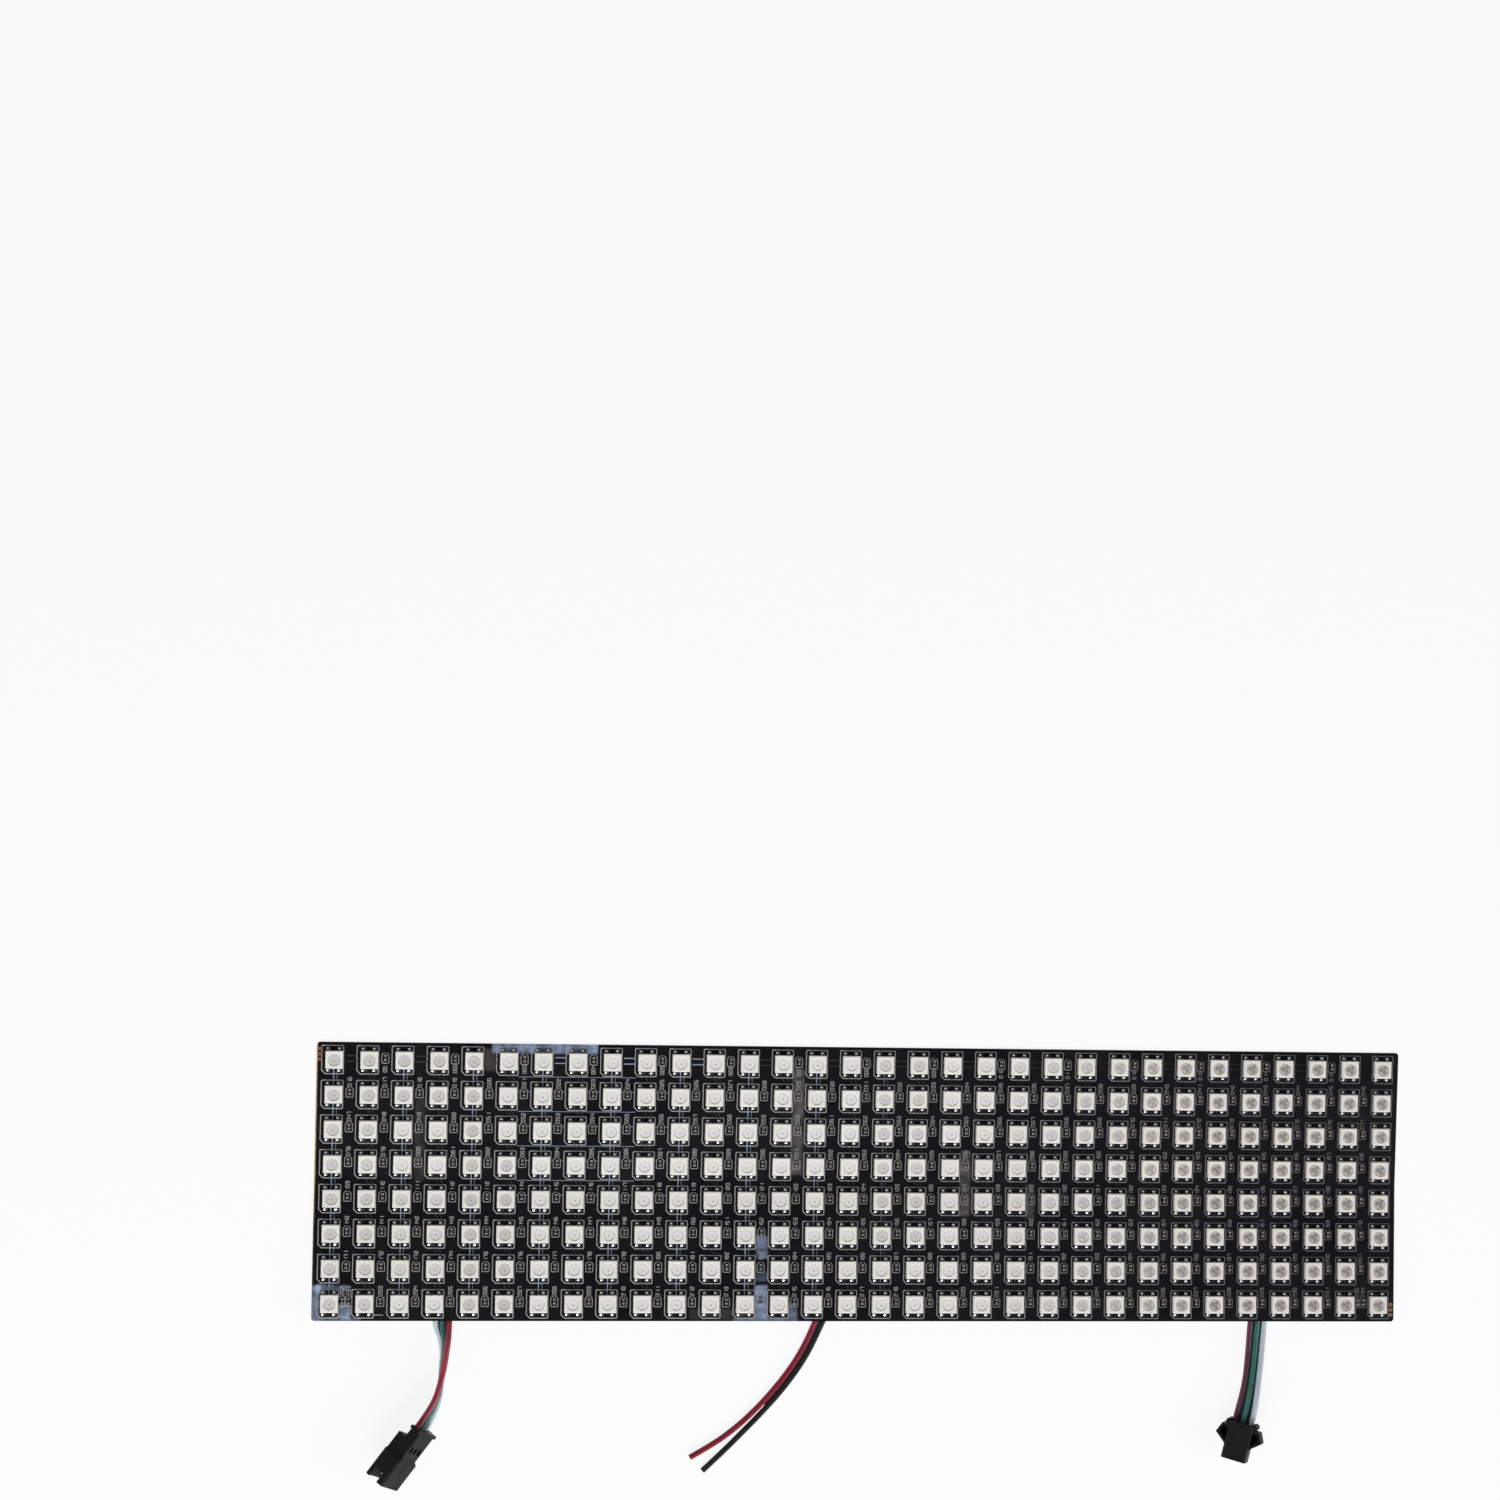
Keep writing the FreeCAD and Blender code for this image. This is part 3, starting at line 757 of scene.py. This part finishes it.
def lead_shape():
    """The four leads of a light, each with its pad and its lump of solder."""
    shape = bmesh.new()
    corners = [(side, end) for side in (-1, 1) for end in (-1, 1)]
    for side, end in corners:
        block(shape, LEAD_PAD, side * LEAD_SHIFT, end * 3.0, 0)
        block(shape, LEAD_TIP, side * LEAD_SHIFT, end * 2.75, 0.02)
    metal_faces = len(shape.faces)
    for side, end in corners:
        stretch = Matrix.Diagonal((*SOLDER_LUMP, 1))
        move = Matrix.Translation((side * LEAD_SHIFT - 0.25, end * 3.12, 0.05))
        bmesh.ops.create_icosphere(shape, subdivisions=1, radius=1, matrix=move @ stretch)
    second_material(shape, metal_faces)
    return shape


def place_lights():
    for row in range(ROWS):
        places = [(light_x(column), light_y(row)) for column in range(COLUMNS)]
        place_copies(light_shape(), places, f"lights_{row + 1}", [light_housing, light_window],
                     [f"light_row_{row + 1}"])
        place_copies(lead_shape(), places, f"light_leads_{row + 1}", [shaded_lead, solder])


def chip_shape():
    """A chip with a tinned cap at each end."""
    shape = bmesh.new()
    block(shape, CHIP_BODY, 0, 0, 0.02, edge=0.04)
    body_faces = len(shape.faces)
    for end in (-1, 1):
        block(shape, CHIP_CAP, 0, end * 0.62, 0.01, edge=0.07)
    second_material(shape, body_faces)
    return shape


def place_chips():
    for row in range(ROWS):
        place_copies(chip_shape(), capacitor_places(row), f"capacitors_{row + 1}",
                     [capacitor_body, tinned_lead],
                     [f"capacitor_row_{row + 1}"])
    place_copies(chip_shape(), resistor_places(), "resistors", [resistor_body, tinned_lead],
                 ["data_resistors"])


# Marks on the board

def closed_line(size, x, y, cuts, ink):
    """A rectangle's outline. Its corners are cut from the lower left on, against the clock."""
    shape = bmesh.new()
    stretch = Matrix.Diagonal((size[0] / 2, size[1] / 2, 1, 1))
    move = Matrix.Translation((x, y, INK_HEIGHT))
    made = bmesh.ops.create_grid(shape, x_segments=1, y_segments=1, size=1,
                                 matrix=move @ stretch)["verts"]
    order = sorted(made, key=lambda vert: math.atan2(vert.co.y - y, vert.co.x - x))
    for vert, cut in zip(order, cuts):
        bmesh.ops.bevel(shape, geom=[vert], offset=cut, segments=1 if cut > 0.5 else 2,
                        profile=0.5, affect="VERTICES", material=-1)
    shape.faces.ensure_lookup_table()
    face = shape.faces[-1]
    bmesh.ops.inset_region(shape, faces=[face], thickness=ink, use_boundary=True,
                           use_even_offset=True)
    bmesh.ops.delete(shape, geom=[face], context="FACES")
    return shape


def ribbon_line(shape, points, width, z):
    """A flat line through points."""
    place = Vector(points[0])
    across = (Vector(points[1]) - place).orthogonal().normalized() * width / 2
    edge = shape.edges.new([shape.verts.new((*(place + across), z)),
                            shape.verts.new((*(place - across), z))])
    for point in points[1:]:
        edge = pull_edge(shape, edge)
        step = Vector(point) - place
        bmesh.ops.translate(shape, vec=(step.x, step.y, 0), verts=list(edge.verts))
        place = Vector(point)


# The strokes of each numeral
SEGMENTS = {
    "0": "abcdef", "1": "bc", "2": "abged", "3": "abgcd", "4": "fgbc",
    "5": "afgcd", "6": "afgedc", "7": "abc", "8": "abcdefg", "9": "abcdfg",
}


def digit(shape, number, x, y):
    """A numeral of straight strokes that reads upwards along the board, its foot to the right."""
    half, top = DIGIT_WIDTH / 2, DIGIT_HEIGHT / 2
    lines = {
        "a": ((-half, top), (half, top)),
        "b": ((half, top), (half, 0)),
        "c": ((half, 0), (half, -top)),
        "d": ((-half, -top), (half, -top)),
        "e": ((-half, 0), (-half, -top)),
        "f": ((-half, top), (-half, 0)),
        "g": ((-half, 0), (half, 0)),
    }
    for name in SEGMENTS[number]:
        ribbon_line(shape, [(x - end[1], y + end[0]) for end in lines[name]], STROKE, INK_HEIGHT)


def ink_offset(x):
    """The print is stretched a little along the board, so it drifts against the lights."""
    return -0.08 + 0.33 * x / 155


def finish_ink(shape, name):
    lay_on_board(shape)
    give_thickness(finish_piece(shape, name, [silk]), INK_HEIGHT)


def light_outlines():
    outline = closed_line(LIGHT_OUTLINE, -0.02, -0.1, LIGHT_OUTLINE_CUTS, INK_WIDTH)
    places = [(light_x(column) + ink_offset(light_x(column)), light_y(row))
              for row in range(ROWS) for column in range(COLUMNS)]
    finish_ink(repeat(outline, places), "light_outlines")


def chip_outlines():
    outline = closed_line(CHIP_OUTLINE, 0, 0, CHIP_OUTLINE_CUTS, 0.2)
    chips = [place for row in range(ROWS) for place in capacitor_places(row)]
    places = [(x, y - 0.1) for x, y in chips + resistor_places()]
    finish_ink(repeat(outline, places), "chip_outlines")


def chip_numbers():
    """A running number above each chip, or below it in the first row."""
    numbers = bmesh.new()
    count = 0
    for row in range(ROWS):
        for x, y in capacitor_places(row) + (resistor_places() if row == ROWS - 1 else []):
            count += 1
            middle = y - NUMBER_SHIFT if row == 0 else y + NUMBER_SHIFT
            for place, number in enumerate(f"{count:03d}"):
                digit(numbers, number, x, middle + (place - 1) * DIGIT_PITCH)
    finish_ink(numbers, "chip_numbers")


def corner_marks():
    marks = bmesh.new()
    x, y, next_x = light_x(0), light_y(ROWS - 1), light_x(1)
    for points in (
        [(x + 3.6, y - 0.6), (x + 6.1, y - 0.6)],
        [(x + 5.2, y - 3.6), (x + 6.0, y - 2.6), (x + 6.0, y - 1.0)],
        [(x + 3.2, y - 3.7), (x + 5.2, y - 3.6)],
        [(next_x + 2.9, y - 3.3), (next_x + 5.5, y - 3.3)],
    ):
        ribbon_line(marks, points, 0.24, INK_HEIGHT)
    finish_ink(marks, "corner_marks")


def finish_traces(shape, name, material):
    lay_on_board(shape)
    give_thickness(finish_piece(shape, name, [material]), TRACE_HEIGHT)


def traces():
    """Copper lines under the mask, some of which catch the light."""
    bright, dim = bmesh.new(), bmesh.new()
    jog = [(0, -2.5), (0, -4.2), (0.9, -5.1), (0.9, -6.1), (-0.2, -7.3)]
    for column in range(COLUMNS):
        x = light_x(column)
        for row in range(ROWS - 1):
            y = light_y(row)
            if column % 2 == 0:
                for shift, width in ((-0.05, 0.3), (0.95, 0.12)):
                    ribbon_line(bright, [(x + shift, y - 2.5), (x + shift, y - 7.5)], width,
                                TRACE_HEIGHT)
            else:
                for shift in (-0.55, 0.7):
                    ribbon_line(dim, [(x + shift + right, y + down) for right, down in jog],
                                0.24, TRACE_HEIGHT)
    for gap in range(0, COLUMNS - 2, 2):
        x = light_x(gap)
        for rise in (1.1, -0.55):
            y = light_y(0) + rise
            ribbon_line(bright if 6 <= gap <= 10 else dim, [(x + 3.4, y), (x + 6.7, y)], 0.34,
                        TRACE_HEIGHT)
    for row in range(1, 5):
        y = 0.45 - PITCH * row
        ribbon_line(bright, [(light_x(5) + 3.0, y), (light_x(9) - 3.0, y)], 0.16, TRACE_HEIGHT)
        y = light_y(row) + 1.2
        for gap in range(5, 10):
            for start, end in ((3.0, 3.7), (5.6, 6.6)):
                ribbon_line(bright, [(light_x(gap) + start, y), (light_x(gap) + end, y)], 0.16,
                            TRACE_HEIGHT)
    finish_traces(bright, "straight_traces", bright_trace)
    finish_traces(dim, "jogged_traces", dim_trace)


# The rest of the source's pieces keep their shape and get their finish

def finish_nodes():
    finishes = {
        "flexible_board": board_mask,
        "left_edge_contacts": copper,
        "right_edge_contacts": copper,
        "receptacle_pins": gold,
        "plug_sockets": gold,
    }
    for lead in ("left", "power", "right"):
        finishes[f"{lead}_back_pads"] = tinned_lead
        finishes[f"{lead}_solder_joints"] = solder
        finishes[f"{lead}_conductors"] = tinned_lead
    for node, material in finishes.items():
        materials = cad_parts[node].data.materials
        materials.clear()
        materials.append(material)


# Stage

def rays_that_see(wiring):
    """1 for camera, reflected and passing rays, which show the white background, 0 for light."""
    rays = wiring.node("ShaderNodeLightPath").outputs
    seen = wiring.math("MAXIMUM", rays["Is Camera Ray"], rays["Is Glossy Ray"])
    return wiring.math("MAXIMUM", seen, rays["Is Transmission Ray"])


def lay_floor():
    shape = bmesh.new()
    bmesh.ops.create_grid(shape, x_segments=1, y_segments=1, size=FLOOR_HALF,
                          matrix=Matrix.Translation((0, 0, -FLOOR_DEPTH)))
    mesh = bpy.data.meshes.new("floor")
    shape.to_mesh(mesh)
    shape.free()
    floor = bpy.data.objects.new("floor", mesh)
    bpy.context.collection.objects.link(floor)
    material = new_material("pale_floor", (0.88, 0.88, 0.88), 0.9, specular=0.1)
    wiring = Wiring(material)
    glow = wiring.node("ShaderNodeEmission", Strength=1.0)
    share = wiring.math("MULTIPLY", rays_that_see(wiring), FLOOR_GLOW)
    mix = wiring.node("ShaderNodeMixShader")
    for number, item in enumerate((share, wiring.shader.outputs[0], glow.outputs[0])):
        wiring.feed(mix.inputs[number], item)
    wiring.feed(wiring.tree.nodes["Material Output"].inputs["Surface"], mix.outputs[0])
    mesh.materials.append(material)


def lamp(name, place, power):
    data = bpy.data.lights.new(name, "AREA")
    data.shape = "SQUARE"
    data.size = LAMP_SIZE
    data.energy = power
    light = bpy.data.objects.new(name, data)
    bpy.context.collection.objects.link(light)
    light.location = place
    light.rotation_euler = Vector(place).to_track_quat("Z", "Y").to_euler()


def light_studio():
    """Soft light, mostly from the lead side, and dark overhead, where the gloss looks."""
    world = bpy.data.worlds.new("studio")
    bpy.context.scene.world = world
    world.use_nodes = True
    wiring = Wiring(world)
    way = wiring.split(wiring.node("ShaderNodeTexCoord").outputs["Generated"])
    ramp = wiring.node("ShaderNodeValToRGB")
    wiring.feed(ramp.inputs[0], way["Z"])
    for element, position, colour in zip(ramp.color_ramp.elements, (0.35, 0.95),
                                         ((0.97, 0.975, 0.985, 1), (0.05, 0.05, 0.055, 1))):
        element.position = position
        element.color = colour
    front = wiring.spread(way["Y"], -0.9, 0.9, 1.0, 0.3)
    sky = wiring.tree.nodes["Background"]
    wiring.feed(sky.inputs["Color"], ramp.outputs[0])
    wiring.feed(sky.inputs["Strength"], wiring.math("MAXIMUM", front, rays_that_see(wiring)))
    lamp("key", (-0.3, -1.25, 0.95), 23.5)
    lamp("fill", (1.5, -0.45, 0.75), 8)


place_camera()
run_wires()
place_lights()
place_chips()
light_outlines()
chip_outlines()
chip_numbers()
corner_marks()
traces()
finish_nodes()
lay_floor()
light_studio()
bpy.context.scene.view_settings.view_transform = "Standard"
